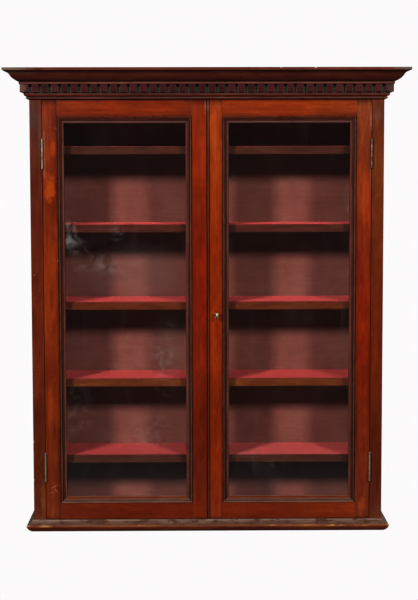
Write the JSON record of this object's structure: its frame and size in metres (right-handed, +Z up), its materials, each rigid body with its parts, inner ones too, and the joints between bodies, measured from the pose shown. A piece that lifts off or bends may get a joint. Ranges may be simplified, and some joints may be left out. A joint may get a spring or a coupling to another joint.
{
  "type": "wall mounted display case",
  "caption": "Mahogany wall display case with a dentil cornice, inset glazed doors on brass butts, cloth-lined shelves, a keyed lock and barrel bolts.",
  "frame": {"origin": "centre of the four wall fixing holes, on the plane of the back of the case", "axes": "+Z up, +Y into the wall, -Y towards the viewer, +X to the viewer's right"},
  "size_m": [1.0384, 0.302, 1.2066],
  "materials": {
    "case_mahogany": "satin polish",
    "front_mahogany": "worn satin polish",
    "door_mahogany": "glossy polish",
    "moulding_mahogany": "satin polish",
    "back_pine": "unfinished",
    "red_baize": "faded baize",
    "glass": "clear",
    "steel": "dull",
    "brass": "tarnished"
  },
  "bodies": {
    "case": {"back_boards": "back_pine", "back_lining": "red_baize", "base_moulding_front": "front_mahogany", "base_moulding_returns": "front_mahogany", "bed_moulding": "front_mahogany", "bottom_board": "case_mahogany", "case_screws": "steel", "crown_front": "front_mahogany", "crown_returns": "front_mahogany", "dentil_band": "front_mahogany", "door_stops": "moulding_mahogany", "floor_lining": "red_baize", "frieze_rail": "front_mahogany", "hanging_rail_bottom": "back_pine", "hanging_rail_top": "back_pine", "hinge_frame_leaves": "brass", "hinge_pins": "brass", "pilaster_left": "front_mahogany", "pilaster_right": "front_mahogany", "plinth_rail": "front_mahogany", "shelf_1": "case_mahogany", "shelf_2": "case_mahogany", "shelf_3": "case_mahogany", "shelf_4": "case_mahogany", "shelf_5": "case_mahogany", "shelf_lining_1": "red_baize", "shelf_lining_2": "red_baize", "shelf_lining_3": "red_baize", "shelf_lining_4": "red_baize", "shelf_lining_5": "red_baize", "side_panel_left": "case_mahogany", "side_panel_right": "case_mahogany", "top_board": "case_mahogany"},
    "left_door": {"left_door_bolt_cases": "brass", "left_door_bottom_rail": "door_mahogany", "left_door_glass": "glass", "left_door_glazing_beads": "moulding_mahogany", "left_door_hinge_leaves": "brass", "left_door_hinge_stile": "door_mahogany", "left_door_meeting_stile": "door_mahogany", "left_door_moulding": "moulding_mahogany", "left_door_screws": "steel", "left_door_top_rail": "door_mahogany"},
    "right_door": {"right_door_bottom_rail": "door_mahogany", "right_door_glass": "glass", "right_door_glazing_beads": "moulding_mahogany", "right_door_hinge_leaves": "brass", "right_door_hinge_stile": "door_mahogany", "right_door_meeting_stile": "door_mahogany", "right_door_moulding": "moulding_mahogany", "right_door_screws": "steel", "right_door_top_rail": "door_mahogany", "lock_case": "steel", "lock_cover": "steel", "escutcheon": "brass"},
    "lock_bolt": {"lock_bolt": "steel"},
    "key": {"key": "steel"},
    "door_bolt_top": {"door_bolt_top": "brass"},
    "door_bolt_bottom": {"door_bolt_bottom": "brass"}
  },
  "joints": [
    {"name": "left_door_hinge", "type": "hinge", "parent": "case", "child": "left_door", "pos_m": [-0.42545, -0.243, 0], "axis": [0, 0, -1], "range_deg": [0, 180]},
    {"name": "right_door_hinge", "type": "hinge", "parent": "case", "child": "right_door", "pos_m": [0.42545, -0.243, 0], "axis": [0, 0, 1], "range_deg": [0, 180]},
    {"name": "key_turn", "type": "hinge", "parent": "right_door", "child": "key", "pos_m": [0.024, -0.24, -0.032], "axis": [0, 1, 0], "range_deg": [0, 90]},
    {"name": "lock_bolt_slide", "type": "slide", "parent": "right_door", "child": "lock_bolt", "axis": [-1, 0, 0], "range_m": [0, 0.0065]},
    {"name": "top_bolt_slide", "type": "slide", "parent": "left_door", "child": "door_bolt_top", "axis": [0, 0, 1], "range_m": [0, 0.01]},
    {"name": "bottom_bolt_slide", "type": "slide", "parent": "left_door", "child": "door_bolt_bottom", "axis": [0, 0, -1], "range_m": [0, 0.01]}
  ],
  "couplings": [
    {"joint": "key_turn", "follows": "lock_bolt_slide", "rad_per_m": 241.5}
  ]
}
